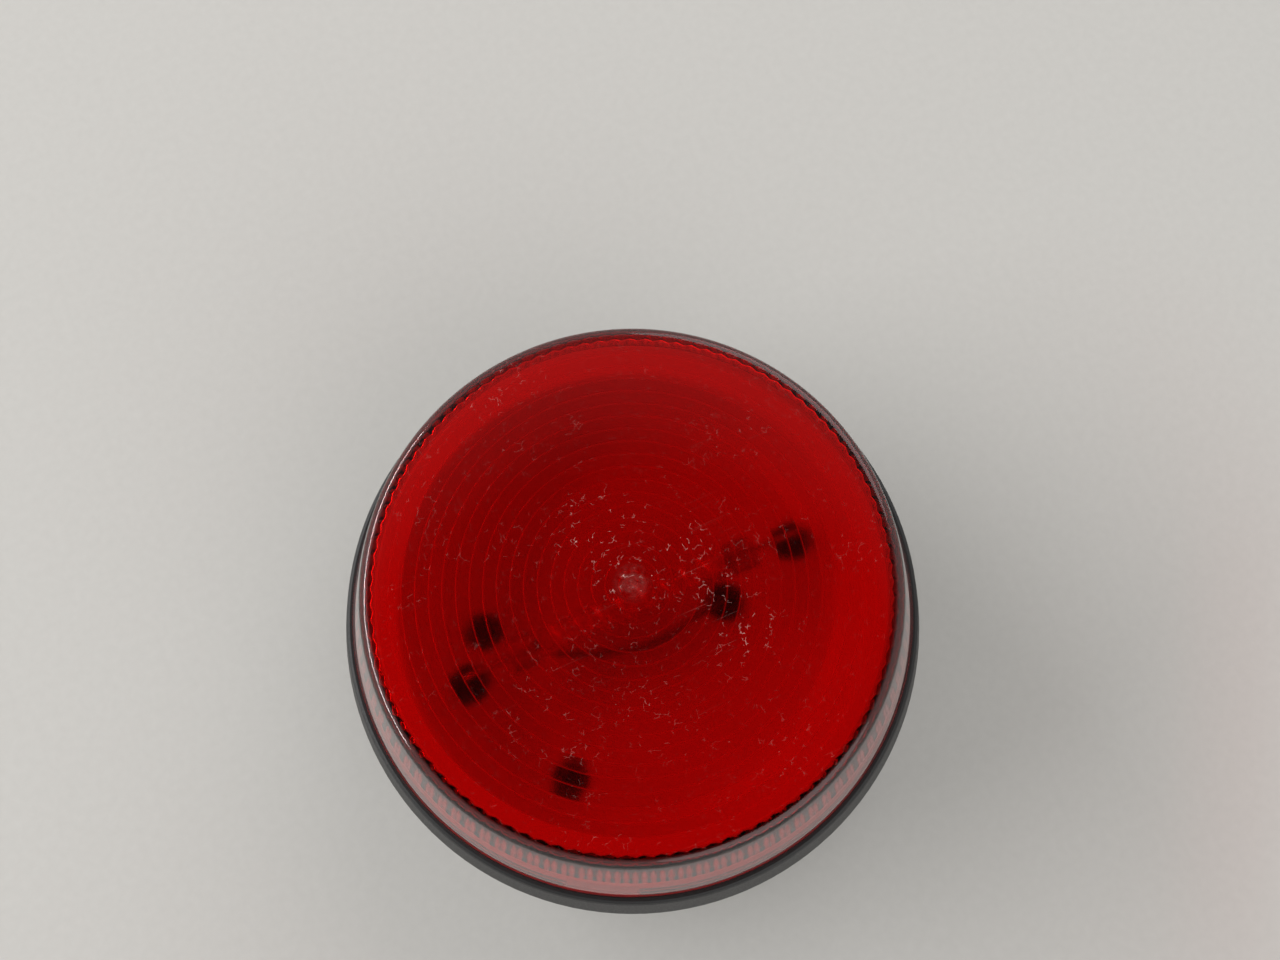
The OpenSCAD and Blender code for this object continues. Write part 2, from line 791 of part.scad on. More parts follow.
// Axial part lying along X: a body between two leads bent down to the board
module axial_part(body_len, body_r, belly_r) {
    lead_r = 0.35;
    lead_x = body_len / 2 + 1.6;
    axis_z = body_r + 0.3;
    translate([0, 0, axis_z]) rotate([0, 90, 0])
        rotate_extrude() polygon([
            [0, -body_len / 2], [body_r * 0.8, -body_len / 2], [body_r, -body_len / 2 + 0.4],
            [body_r, -body_len / 2 + 1.3], [belly_r, -body_len / 2 + 1.7],
            [belly_r, body_len / 2 - 1.7], [body_r, body_len / 2 - 1.3],
            [body_r, body_len / 2 - 0.4], [body_r * 0.8, body_len / 2], [0, body_len / 2]
        ]);
    for (s = [-1, 1]) {
        translate([s * (body_len / 2 - 0.2), 0, axis_z]) rotate([0, s * 90, 0])
            cylinder(r = lead_r, h = lead_x - body_len / 2 + 0.2, $fn = 16);
        translate([s * lead_x, 0, 0]) cylinder(r = lead_r, h = axis_z + lead_r, $fn = 16);
    }
}

module rectifier_diodes() {
    color([0.12, 0.12, 0.13])
        for (y = [4.5, 9, 13.5])
            translate([-11, y, board_top]) axial_part(5.2, 1.35, 1.34);
}

module resistors() {
    color([0.72, 0.6, 0.42]) {
        for (y = [6, 9.5, 13]) translate([9.5, y, board_top]) axial_part(6.4, 1.25, 1.05);
        for (y = [-6, -9.5]) translate([-24.8, y, board_top]) axial_part(6.4, 1.25, 1.05);
    }
}

// Two way screw terminal block, wire mouths towards the cable inlet
module terminal_block() {
    depth = 8;
    height = 10;
    width = 2 * terminal_pitch;
    color([0.1, 0.35, 0.55])
        translate([terminal_pos[0], terminal_pos[1], board_top])
            difference() {
                translate([0, width / 2, 0]) rotate([90, 0, 0])
                    linear_extrude(height = width)
                        polygon([[-depth / 2, 0], [depth / 2, 0], [depth / 2, 6.4],
                                 [depth / 2 - 1.4, height], [-depth / 2 + 1.4, height],
                                 [-depth / 2, 7.6]]);
                for (s = [-0.5, 0.5]) {
                    translate([0, s * terminal_pitch, screw_well_h]) cylinder(r = 1.9, h = height);
                    translate([-0.6, s * terminal_pitch - 1.5, 1.4]) cube([depth, 3, 3]);
                }
            }
}

module terminal_screws() {
    color([0.76, 0.76, 0.78])
        for (s = [-0.5, 0.5])
            translate([terminal_pos[0], terminal_pos[1] + s * terminal_pitch, board_top + screw_well_h])
                difference() {
                    cylinder(r = 1.7, h = 2, $fn = 32);
                    translate([-2, -0.25, 1.2]) cube([4, 0.5, 2]);
                }
}

lens();
lens_seal();
base_housing();
base_gasket();
threaded_inserts();
cable_grommet();
reflector_dish();
reflector_screws();
flash_tube();
tube_electrodes();
tube_leads();
trigger_winding();
trigger_lead();
circuit_board();
board_screws();
storage_capacitor();
input_capacitor();
transformer_core();
transformer_bobbin();
transformer_winding();
trigger_coil();
switching_transistor();
heatsink();
transistor_screw();
thyristor();
trigger_capacitor();
rectifier_diodes();
resistors();
terminal_block();
terminal_screws();
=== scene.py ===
# %% [markdown]
# # Dressing a warning beacon
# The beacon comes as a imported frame: thirty pieces of the right size, in place, with one joint
# that lets the lens turn. This lesson gives it its looks. It sets up the camera and the light,
# makes one finish for each real material, and rebuilds the moulded lens as a fine mesh, because
# its rings and flutes are what the eye goes to first.

import math

import bpy
import numpy as np
from mathutils import Matrix, Vector


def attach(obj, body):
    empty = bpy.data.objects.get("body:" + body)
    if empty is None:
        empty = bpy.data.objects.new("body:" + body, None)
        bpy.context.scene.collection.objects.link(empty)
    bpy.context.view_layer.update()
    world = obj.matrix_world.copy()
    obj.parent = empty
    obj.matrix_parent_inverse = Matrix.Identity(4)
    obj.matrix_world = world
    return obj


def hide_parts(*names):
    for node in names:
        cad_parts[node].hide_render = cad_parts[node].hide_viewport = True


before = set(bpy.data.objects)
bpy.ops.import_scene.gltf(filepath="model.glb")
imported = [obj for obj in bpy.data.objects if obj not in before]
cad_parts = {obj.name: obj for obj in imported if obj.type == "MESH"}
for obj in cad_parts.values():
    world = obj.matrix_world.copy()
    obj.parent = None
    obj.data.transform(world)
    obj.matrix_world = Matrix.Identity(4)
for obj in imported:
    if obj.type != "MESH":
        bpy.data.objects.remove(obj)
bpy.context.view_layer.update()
MM = 0.001

# %% [markdown]
# ## Two helpers for every finish
# Colours are written as sRGB hex, the way a paint chart gives them, but Blender's sockets take
# linear light. Nodes are added one at a time: a small function names the kind of node, gives its
# settings, and either sets each input or links another node's output to it.

# %% Colour and node helpers
def linear(hex_colour):
    """An sRGB colour such as #b40000 as the linear RGBA that a socket takes."""
    channels = [int(hex_colour[i:i + 2], 16) / 255 for i in (1, 3, 5)]
    return tuple(c / 12.92 if c <= 0.04045 else ((c + 0.055) / 1.055) ** 2.4
                 for c in channels) + (1.0,)


def add(tree, kind, inputs=(), **settings):
    """Adds one shader node, and sets or links the inputs that are given."""
    made = tree.nodes.new("ShaderNode" + kind)
    for name, value in settings.items():
        setattr(made, name, value)
    for name, value in dict(inputs).items():
        if isinstance(value, bpy.types.NodeSocket):
            tree.links.new(value, made.inputs[name])
        else:
            made.inputs[name].default_value = value
    return made


print("#b40000 as linear light:", [round(c, 3) for c in linear("#b40000")[:3]])

# %% [markdown]
# ## What every finish starts from
# Each finish gets a fresh tree with a Principled shader and the piece's own coordinates, which
# are metres in the frame. A pattern's scale is one over its real size, so a grain of 0.3 mm is
# written as 0.3 and never as a bare number of repeats.

# %% Start of a finish
def new_finish(name, **values):
    """A material with its tree, its shader with the values given, and its place socket."""
    material = bpy.data.materials.new(name)
    material.use_nodes = True
    tree = material.node_tree
    shader = tree.nodes["Principled BSDF"]
    for socket, value in values.items():
        shader.inputs[socket.replace("_", " ")].default_value = value
    place = add(tree, "TexCoord").outputs["Object"]
    return material, tree, shader, place


def noise(tree, place, size_mm, detail=3.0, stretch=None):
    """The Fac output of a noise whose blobs are about size_mm wide."""
    if stretch is not None:
        place = add(tree, "Mapping", {"Vector": place, "Scale": stretch}).outputs["Vector"]
    return add(tree, "TexNoise", {"Vector": place, "Scale": 1 / (size_mm * MM),
                                  "Detail": detail}).outputs["Fac"]


def ramp(tree, value, low, high, to_low=0.0, to_high=1.0):
    """Maps low to high onto to_low to to_high, clamped at both ends."""
    return add(tree, "MapRange", {"Value": value, "From Min": low, "From Max": high,
                                  "To Min": to_low, "To Max": to_high}).outputs["Result"]


def blend(tree, factor, first, second):
    """A mix of two colours: the first where factor is 0, the second where it is 1."""
    return add(tree, "Mix", {0: factor, 6: first, 7: second}, data_type="RGBA").outputs[2]


print("helpers: new_finish, noise, ramp, blend")

# %% [markdown]
# ## The camera
# The photograph was taken from close above, tipped about fifteen degrees from straight down.
# Fitting the lens's three circles gave the place, the tilt and the field of view, so they are
# written here as plain numbers.

# %% Camera at the photograph's place
CAMERA_PLACE_MM = (-13.5, -32.4, 266.6)
CAMERA_HEADING = math.radians(-24.5)
CAMERA_TILT = math.radians(14.7)
CAMERA_ROLL = math.radians(0.4)
IMAGE_WIDTH_PX = 1280
FOCAL_PX = 1250
SENSOR_MM = 36
# Level directions as the photograph shows them
PHOTO_RIGHT = Vector((math.cos(CAMERA_HEADING), math.sin(CAMERA_HEADING), 0))
PHOTO_AWAY = Vector((-PHOTO_RIGHT.y, PHOTO_RIGHT.x, 0))
UP = Vector((0, 0, 1))


def camera_at_the_photograph():
    ahead = PHOTO_AWAY * math.sin(CAMERA_TILT) - UP * math.cos(CAMERA_TILT)
    up = PHOTO_RIGHT.cross(ahead)
    right = PHOTO_RIGHT * math.cos(CAMERA_ROLL) + up * math.sin(CAMERA_ROLL)
    up = right.cross(ahead)
    data = bpy.data.cameras.new("camera")
    data.sensor_width = SENSOR_MM
    data.lens = SENSOR_MM * FOCAL_PX / IMAGE_WIDTH_PX
    data.clip_start = 10 * MM
    camera = bpy.data.objects.new("camera", data)
    bpy.context.collection.objects.link(camera)
    turn = Matrix((right, up, -ahead)).transposed()
    camera.matrix_world = Matrix.Translation(Vector(CAMERA_PLACE_MM) * MM) @ turn.to_4x4()
    bpy.context.scene.camera = camera
    return camera


camera = camera_at_the_photograph()
print("camera, mm:", CAMERA_PLACE_MM, "lens:", round(camera.data.lens, 2), "mm")

# %% [markdown]
# ## The floor
# The beacon stands on plain pale paper, and the carton of the photograph is left out. The floor
# is a wide round disc, so that its far edge draws a straight horizon in every side view.

# %% Floor
FLOOR_RADIUS_M = 6
FLOOR_CORNERS = 180
PAPER_FIBRE_MM = 2
PAPER_ROUGHNESS = 0.85


def pale_floor():
    material, tree, shader, place = new_finish("matt_paper_backdrop",
                                               Roughness=PAPER_ROUGHNESS)
    fibre = noise(tree, place, PAPER_FIBRE_MM, 4.0)
    tree.links.new(blend(tree, fibre, linear("#c0beba"), linear("#c8c6c2")),
                   shader.inputs["Base Color"])
    mesh = bpy.data.meshes.new("floor")
    turns = [2 * math.pi * i / FLOOR_CORNERS for i in range(FLOOR_CORNERS)]
    edge = [(FLOOR_RADIUS_M * math.cos(a), FLOOR_RADIUS_M * math.sin(a), 0) for a in turns]
    mesh.from_pydata(edge, [], [tuple(range(FLOOR_CORNERS))])
    mesh.materials.append(material)
    floor = bpy.data.objects.new("floor", mesh)
    bpy.context.collection.objects.link(floor)
    return floor


floor = pale_floor()
print("floor, m:", [round(v, 2) for v in floor.dimensions])

# %% [markdown]
# ## Daylight
# A glossy top mirrors whatever is straight above it. Overhead the photograph had only the dark
# shape of the camera, so the daylight here is dim round the zenith and even lower down. A world
# with a MapRange on the height of each direction does that without any picture of a sky.

# %% Daylight
DAYLIGHT = 0.76
ZENITH_LIGHT = 0.015
# The daylight dims between these heights of a direction, where 1 is the zenith
DIMS_FROM = 0.7
DIMS_TO = 0.96


def daylight():
    world = bpy.data.worlds.new("daylight")
    world.use_nodes = True
    bpy.context.scene.world = world
    tree = world.node_tree
    tree.nodes.clear()
    direction = add(tree, "TexCoord").outputs["Generated"]
    height = add(tree, "SeparateXYZ", {0: direction}).outputs["Z"]
    sky = ramp(tree, height, DIMS_FROM, DIMS_TO, DAYLIGHT, ZENITH_LIGHT)
    light = add(tree, "Background", {"Color": linear("#fdfcfa"), "Strength": sky})
    add(tree, "OutputWorld", {"Surface": light.outputs[0]})


daylight()
print("daylight:", DAYLIGHT, "all round and", ZENITH_LIGHT, "straight above")

# %% [markdown]
# ## Soft windows and a long lamp
# Three windows reach into the dish from three sides. Each is a sun lamp with a broad disc: it
# lights the whole floor evenly and its shadows stay soft. The strongest light is a long lamp at
# the left, which also draws the thin bright line along the rim.

# %% Lamps
WINDOW_DEGREES = 50


def seen_towards(right, away, up):
    """A direction told as in the photograph: how far right, away from the camera and up."""
    return right * PHOTO_RIGHT + away * PHOTO_AWAY + up * UP


def hang(data, towards, distance_m):
    """Hangs a lamp in one direction from the beacon and turns it to face it."""
    lamp = bpy.data.objects.new(data.name, data)
    lamp.location = towards.normalized() * distance_m
    lamp.rotation_mode = "QUATERNION"
    lamp.rotation_quaternion = towards.to_track_quat("Z", "Y")
    bpy.context.collection.objects.link(lamp)


def soft_window(name, towards, strength):
    data = bpy.data.lights.new(name, "SUN")
    data.angle = math.radians(WINDOW_DEGREES)
    data.energy = strength
    hang(data, towards, distance_m=1)


def long_lamp(name, towards, distance_m, length_m, width_m, watts):
    data = bpy.data.lights.new(name, "AREA")
    data.shape = "RECTANGLE"
    data.size = length_m
    data.size_y = width_m
    data.energy = watts
    hang(data, towards, distance_m)


left_and_up = seen_towards(-0.98, 0.15, 0.7)
soft_window("window_left", left_and_up, strength=0.2)
soft_window("window_far_right", seen_towards(0.5, 0.85, 0.75), strength=0.65)
soft_window("window_near_right", seen_towards(0.6, -0.75, 0.75), strength=0.5)
long_lamp("long_lamp_left", left_and_up, distance_m=2.5, length_m=3, width_m=0.3, watts=40)

# %% [markdown]
# ## Places and relief
# Some finishes have to know where they are on a piece. Maths nodes work it out from the
# coordinates: a height, a distance from an axis, or whether a limit has been passed. A bump node
# then turns a pattern into a shallow relief whose depth is given in real millimetres.

# %% Helpers for places and relief
def maths(tree, operation, first, second=0.0):
    return add(tree, "Math", {0: first, 1: second}, operation=operation).outputs[0]


def radius_from(tree, axes, x_mm, y_mm):
    """Distance in the plane from an upright axis."""
    dx = maths(tree, "SUBTRACT", axes["X"], x_mm * MM)
    dy = maths(tree, "SUBTRACT", axes["Y"], y_mm * MM)
    return maths(tree, "SQRT", maths(tree, "ADD", maths(tree, "MULTIPLY", dx, dx),
                                     maths(tree, "MULTIPLY", dy, dy)))


def spread(tree, pattern, low, high):
    """Spreads a noise over low to high. A noise seldom leaves the range 0.3 to 0.7."""
    return ramp(tree, pattern, 0.3, 0.7, low, high)


def relief(tree, shader, height, depth_mm):
    """Raises the surface by up to depth_mm where height is 1."""
    bump = add(tree, "Bump", {"Height": height, "Distance": depth_mm * MM})
    tree.links.new(bump.outputs["Normal"], shader.inputs["Normal"])


print("helpers: maths, radius_from, spread, relief")

# %% [markdown]
# ## Mouldings and rubber
# Moulded plastic is never one flat colour. The melt flows out from the gate and leaves slow
# drifts of tone, and the steel of the mould leaves a fine grain that breaks up the shine. One
# recipe with a few values covers the housing, the dish, the connectors and the rubber.

# %% Recipe for mouldings
MELT_DRIFT_MM = 14
# A finish with painted shade gets a darker colour in the middle, which goes over to its own
# colour between these radii
PAINTED_SHADE_FULL_R = 4
PAINTED_SHADE_GONE_R = 34


def shade(colour, factor):
    """The same colour made darker or lighter."""
    return tuple(min(1, c * factor) for c in colour[:3]) + (1.0,)


def moulded(name, colour, roughness, grain_mm, depth_mm, ior=1.52, drift=0.12, painted_shade_colour=None):
    material, tree, shader, place = new_finish(name, IOR=ior)
    base = linear(colour)
    flow = noise(tree, place, MELT_DRIFT_MM)
    grain = noise(tree, place, grain_mm, 4.0)
    tone = blend(tree, flow, shade(base, 1 - drift), shade(base, 1 + drift))
    # Painted shade: the darker colour lies in the middle and fades out towards the rim
    if painted_shade_colour is not None:
        radius = radius_from(tree, add(tree, "SeparateXYZ", {0: place}).outputs, 0, 0)
        outwards = ramp(tree, radius, PAINTED_SHADE_FULL_R * MM, PAINTED_SHADE_GONE_R * MM)
        tone = blend(tree, outwards, linear(painted_shade_colour), tone)
    tree.links.new(tone, shader.inputs["Base Color"])
    tree.links.new(spread(tree, grain, roughness * 0.85, min(1, roughness * 1.15)),
                   shader.inputs["Roughness"])
    relief(tree, shader, grain, depth_mm)
    return material


print("recipe: moulded, with drifts of", MELT_DRIFT_MM, "mm")

# %% [markdown]
# ## The moulded pieces
# Each line gives a colour, a roughness, and the size and depth of the grain in millimetres. What
# tells one plastic from another is mostly how rough it is: varnish shines, moulded ABS is satin,
# and foamed rubber hardly shines at all.

# %% Finishes of the moulded pieces
finishes = {
    # ABS, moulded against spark-eroded steel: near black with a soft satin shine
    "base_housing": moulded("black_abs_satin_moulded", "#161617", 0.5, 0.35, 0.012, ior=1.47),
    # White ABS against fine blasted steel: bright and almost matt, with painted shade that makes
    # the middle greyer
    "reflector_dish": moulded("white_abs_matt_with_painted_shade", "#d5d3cd", 0.6, 0.5, 0.004, drift=0.03,
                              painted_shade_colour="#9f9d97"),
    # Natural silicone: milky, with the dull bloom of rubber
    "lens_seal": moulded("natural_silicone_moulded", "#dedbd2", 0.6, 0.3, 0.01, drift=0.05),
    # Foamed rubber cut from sheet: open pores, no shine
    "base_gasket": moulded("foamed_rubber_sheet", "#242424", 0.92, 0.5, 0.08, drift=0.25),
    # Soft PVC inlet
    "cable_grommet": moulded("soft_pvc_moulded", "#1a1a1b", 0.5, 0.3, 0.01),
    # Ferrite: pressed and fired powder, dull grey
    "transformer_core": moulded("ferrite_fired", "#3a3a3d", 0.72, 0.15, 0.02, ior=2.0, drift=0.2),
    # Glass filled nylon
    "transformer_bobbin": moulded("nylon_glass_filled_moulded", "#d9d0b4", 0.5, 0.4, 0.012),
    # Polyamide terminal body
    "terminal_block": moulded("blue_polyamide_moulded", "#1f5f8f", 0.38, 0.4, 0.008),
    # Film capacitor dipped in epoxy
    "trigger_capacitor": moulded("orange_epoxy_dipped", "#c25a12", 0.25, 1.8, 0.05),
    # Trigger coil, varnished
    "trigger_coil": moulded("red_brown_varnish_dipped", "#6a1c12", 0.22, 1.0, 0.03),
    # Silicone sleeve over stranded wire
    "trigger_lead": moulded("dark_grey_silicone_sleeve", "#3f3c39", 0.55, 0.3, 0.01),
}
print("moulded finishes:", len(finishes))

# %% [markdown]
# ## Metals
# A metal has no colour of its own under its shine, so the base colour is the colour of the
# reflection and the metallic value is 1. What tells plated steel from sheet or wire is how the
# roughness varies, so each takes a noise, stretched along the way that it was drawn or rolled.

# %% Metals
METAL_SHADE = 0.8
CLOUD_TO_GRAIN = 6


def metal(name, colour, roughness, grain_mm, stretch=(1, 1, 1), depth_mm=0.002):
    material, tree, shader, place = new_finish(name, Metallic=1.0)
    base = linear(colour)
    streak = noise(tree, place, grain_mm, 5.0, stretch)
    cloud = noise(tree, place, CLOUD_TO_GRAIN * grain_mm)
    tree.links.new(blend(tree, cloud, shade(base, METAL_SHADE), base),
                   shader.inputs["Base Color"])
    tree.links.new(spread(tree, streak, roughness * 0.7, roughness * 1.4),
                   shader.inputs["Roughness"])
    relief(tree, shader, streak, depth_mm)
    return material


finishes.update({
    # Turned brass, with tool marks round the axis
    "threaded_inserts": metal("brass_turned", "#d8b35c", 0.28, 0.5, stretch=(1, 1, 6)),
    # Steel with black oxide: dark but still metallic
    "reflector_screws": metal("steel_black_oxide", "#4a4643", 0.42, 0.4),
    # Steel caps fired on to the glass: grey-brown oxide
    "tube_electrodes": metal("steel_fired_oxide", "#a59c91", 0.55, 0.5, depth_mm=0.006),
    "tube_leads": metal("nickel_wire_drawn", "#a9a49a", 0.35, 0.25),
    "trigger_winding": metal("silvered_wire_fine_drawn", "#efebe2", 0.5, 0.2),
    # Zinc plate over steel, with the faint blue of its passivation
    "board_screws": metal("zinc_plated_steel", "#c3c8cf", 0.3, 0.3),
    "transistor_screw": metal("zinc_plated_steel_machined", "#c3c8cf", 0.3, 0.3),
    "terminal_screws": metal("zinc_plated_steel_slotted", "#c3c8cf", 0.34, 0.3),
    # Aluminium sheet, rolled upwards
    "heatsink": metal("aluminium_sheet_rolled", "#c9cbcd", 0.36, 0.25, stretch=(1, 1, 0.05)),
})
print("finishes so far:", len(finishes))

# %% [markdown]
# ## Parts of two materials
# A diode is epoxy with tinned leads, and a can capacitor is aluminium in a plastic sleeve. Each
# is one solid in the frame, so the finish finds out where it is: it compares the height, or the
# place along the part, with measured limits, and changes colour and metal there.

# %% Recipe for parts of two materials
SPLIT_GRAIN_MM = 0.4
SPLIT_GRAIN_DEPTH_MM = 0.006


def split(name, mask_of, inner, outer):
    """Two finishes on one piece, each (hex colour, metallic, roughness): inner where the mask
    is 0 and outer where it is 1."""
    material, tree, shader, place = new_finish(name)
    axes = add(tree, "SeparateXYZ", {0: place}).outputs
    mask = mask_of(tree, axes)
    grain = noise(tree, place, SPLIT_GRAIN_MM, 4.0)
    tree.links.new(blend(tree, mask, linear(inner[0]), linear(outer[0])),
                   shader.inputs["Base Color"])
    tree.links.new(ramp(tree, mask, 0, 1, inner[1], outer[1]), shader.inputs["Metallic"])
    uneven = spread(tree, grain, 0.85, 1.15)
    tree.links.new(maths(tree, "MULTIPLY", ramp(tree, mask, 0, 1, inner[2], outer[2]), uneven),
                   shader.inputs["Roughness"])
    relief(tree, shader, grain, SPLIT_GRAIN_DEPTH_MM)
    return material


print("recipe: split, with a grain of", SPLIT_GRAIN_MM, "mm")

# %% [markdown]
# ## Where the second material starts
# Each mask is a small function that is handed the tree and the piece's three axes, and gives 1
# on the bare metal. The limits are the measures of the solids: the top of a can, the height of
# the legs over the board, half the length of a resistor's body.

# %% Masks for legs, leads and can tops
def above(tree, height, z_mm):
    return maths(tree, "GREATER_THAN", height, z_mm * MM)


def below(tree, height, z_mm):
    return maths(tree, "LESS_THAN", height, z_mm * MM)


def can_top(x_mm, y_mm, top_z_mm, bare_r_mm):
    """The round of bare aluminium that the sleeve leaves open on top of a can."""
    def mask(tree, axes):
        inside = below(tree, radius_from(tree, axes, x_mm, y_mm), bare_r_mm)
        return maths(tree, "MULTIPLY", inside, above(tree, axes["Z"], top_z_mm))
    return mask


def legs_below(z_mm):
    """The legs of a part that stands on the board, up to its case."""
    return lambda tree, axes: below(tree, axes["Z"], z_mm)


def beyond(x_mm, half_mm):
    """The leads on both sides of an axial part's body."""
    def mask(tree, axes):
        return maths(tree, "GREATER_THAN",
                     maths(tree, "ABSOLUTE", maths(tree, "SUBTRACT", axes["X"], x_mm * MM)),
                     half_mm * MM)
    return mask


def resistor_leads(tree, axes):
    """The resistors stand in two rows, and a lead lies outside the bodies of both."""
    one_row = beyond(x_mm=9.5, half_mm=3.25)(tree, axes)
    other_row = beyond(x_mm=-24.8, half_mm=3.25)(tree, axes)
    return maths(tree, "MULTIPLY", one_row, other_row)


print("masks: can_top, legs_below, beyond, resistor_leads")

# %% [markdown]
# ## Capacitors, transistor, thyristor, diodes and resistors
# Sleeves are glossy PVC in the makers' usual colours, epoxy cases are near black and a little
# rough, and resistors are beige lacquer. What comes out of them is tinned wire.

# %% Finishes of the electronic parts
BOARD_TOP_Z = 13.6
TINNED = ("#c9c6bf", 1.0, 0.35)
BARE_CAN = ("#c4c6c8", 1, 0.35)
finishes.update({
    "storage_capacitor": split("blue_pvc_sleeve_on_aluminium",
                               can_top(x_mm=2, y_mm=24.5, top_z_mm=31.8, bare_r_mm=7),
                               ("#1d2a4a", 0, 0.35), BARE_CAN),
    "input_capacitor": split("green_pvc_sleeve_on_aluminium",
                             can_top(x_mm=-14.5, y_mm=24, top_z_mm=26.2, bare_r_mm=4),
                             ("#14302a", 0, 0.35), BARE_CAN),
    "switching_transistor": split("epoxy_moulded_on_tinned_copper", legs_below(BOARD_TOP_Z + 4),
                                  ("#1b1b1c", 0, 0.5), TINNED),
    "thyristor": split("epoxy_moulded_small_case", legs_below(BOARD_TOP_Z + 2.5),
                       ("#18181a", 0, 0.5), TINNED),
    "rectifier_diodes": split("epoxy_moulded_on_tinned_leads", beyond(x_mm=-11, half_mm=2.65),
                              ("#1a1a1b", 0, 0.45), TINNED),
    "resistors": split("beige_lacquer_on_tinned_leads", resistor_leads,
                       ("#c9ab78", 0, 0.4), TINNED),
})
print("finishes so far:", len(finishes))

# %% [markdown]
# ## Tape and circuit board
# Polyester tape is wound on in layers, so its edge shows as fine lines 0.4 mm apart round the
# coil. The board is glass cloth in resin under green solder mask. Copper tracks lift the mask a
# little and make it paler, which a brick pattern of long cells suggests well enough.

# %% Tape and board
TAPE_LAYER_MM = 0.4
TAPE_STEP_MM = 0.03
WEAVE_MM = 0.5
WEAVE_STRENGTH = 0.35
TRACK_MM = 9
TRACK_HEIGHT_MM = 0.035


def wound_tape(name):
    material, tree, shader, place = new_finish(name, IOR=1.57)
    height = add(tree, "SeparateXYZ", {0: place}).outputs["Z"]
    layer = maths(tree, "PINGPONG", height, TAPE_LAYER_MM * MM)
    edge = ramp(tree, layer, 0, TAPE_LAYER_MM * MM)
    tree.links.new(blend(tree, edge, linear("#a97d12"), linear("#dcb234")),
                   shader.inputs["Base Color"])
    tree.links.new(spread(tree, noise(tree, place, 1.5), 0.15, 0.3), shader.inputs["Roughness"])
    relief(tree, shader, edge, TAPE_STEP_MM)
    return material


def circuit_board(name):
    material, tree, shader, place = new_finish(name, IOR=1.55)
    weave = add(tree, "TexChecker", {"Vector": place,
                                     "Scale": 1 / (WEAVE_MM * MM)}).outputs["Fac"]
    tracks = add(tree, "TexBrick", {"Vector": place, "Scale": 1 / (TRACK_MM * MM),
                                    "Mortar Size": 0.09, "Mortar Smooth": 0.2})
    track = ramp(tree, tracks.outputs["Fac"], 0, 1)
    mask = blend(tree, maths(tree, "MULTIPLY", weave, WEAVE_STRENGTH),
                 linear("#12452a"), linear("#1a5735"))
    tree.links.new(blend(tree, track, mask, linear("#2f7a4a")), shader.inputs["Base Color"])
    tree.links.new(ramp(tree, track, 0, 1, 0.3, 0.2), shader.inputs["Roughness"])
    relief(tree, shader, track, TRACK_HEIGHT_MM)
    return material


finishes["transformer_winding"] = wound_tape("polyester_tape_wound")
finishes["circuit_board"] = circuit_board("epoxy_glass_board_green_mask")
print("finishes so far:", len(finishes))

# %% [markdown]
# ## Glass that lets light in
# Light has to get through the lens and the tube to what lies behind them. Real glass bends it,
# but a path tracer finds those bent paths slowly. So both see-through finishes are clear to the
# rays that only ask whether a lamp can be reached, and to rays that left a matt surface, while
# the camera still sees true refraction.

# %% See-through shaders
def let_light_in(tree, shader, clear):
    """Puts a plain see-through shader in for shadow and diffuse rays."""
    path = add(tree, "LightPath").outputs
    asked = maths(tree, "MAXIMUM", path["Is Shadow Ray"], path["Is Diffuse Ray"])
    plain = add(tree, "BsdfTransparent", {"Color": linear(clear)})
    both = add(tree, "MixShader", {0: asked, 1: shader.outputs[0], 2: plain.outputs[0]})
    output = tree.nodes["Material Output"]
    tree.links.new(both.outputs[0], output.inputs["Surface"])
    return output


# On both sides of its middle, the tube goes from clear to a little hazy between these places
TUBE_CLEAR_X = 14
TUBE_HAZY_X = 20
TUBE_END_HAZE = 0.18


def borosilicate_glass():
    """Drawn tube: clear, with the faint haze that sputtered metal leaves near the ends."""
    material, tree, shader, place = new_finish(
        "borosilicate_glass_drawn", IOR=1.47, Transmission_Weight=1.0)
    shader.inputs["Base Color"].default_value = linear("#fbfdfd")
    along = add(tree, "SeparateXYZ", {0: place}).outputs["X"]
    ends = ramp(tree, maths(tree, "ABSOLUTE", along), TUBE_CLEAR_X * MM, TUBE_HAZY_X * MM,
                0.0, TUBE_END_HAZE)
    tree.links.new(ends, shader.inputs["Roughness"])
    let_light_in(tree, shader, "#f8f8f8")
    return material


finishes["flash_tube"] = borosilicate_glass()
print("finishes so far:", len(finishes))

# %% [markdown]
# ## Lint, dust and scratches
# Even an unused lens gathers marks, and they tell the eye how smooth it is. Lint is short, thin
# and curled, which the borders of warped cells imitate. Dust is a small dot in some of the cells
# of a second pattern, and scratches are the peaks of a noise that is drawn out into long streaks.
# Each helper gives 1 on a mark and 0 beside it.

# %% Marks on the lens
CURL_MM = 1.2
CURL_SWING_MM = 0.9
HAIR_CELL_MM = 1.4
SPECK_CELL_MM = 1.7
SCRATCH_MM = 1.3


def lint(tree, place):
    """Short curled hairs: edges of warped cells, kept only here and there."""
    curl = add(tree, "TexNoise", {"Vector": place, "Scale": 1 / (CURL_MM * MM), "Detail": 1.0})
    warped = add(tree, "VectorMath", {0: curl.outputs["Color"], 1: (CURL_SWING_MM * MM,) * 3,
                                      2: place}, operation="MULTIPLY_ADD")
    cells = add(tree, "TexVoronoi", {"Vector": warped.outputs[0],
                                     "Scale": 1 / (HAIR_CELL_MM * MM)},
                feature="DISTANCE_TO_EDGE")
    # Distances in cells: a hair is solid in its middle and gone 0.017 mm from it
    hair = ramp(tree, cells.outputs["Distance"], 0.002, 0.012, 1.0, 0.0)
    kept = ramp(tree, noise(tree, place, 1.2, 1.0), 0.58, 0.63)
    return maths(tree, "MULTIPLY", hair, kept)


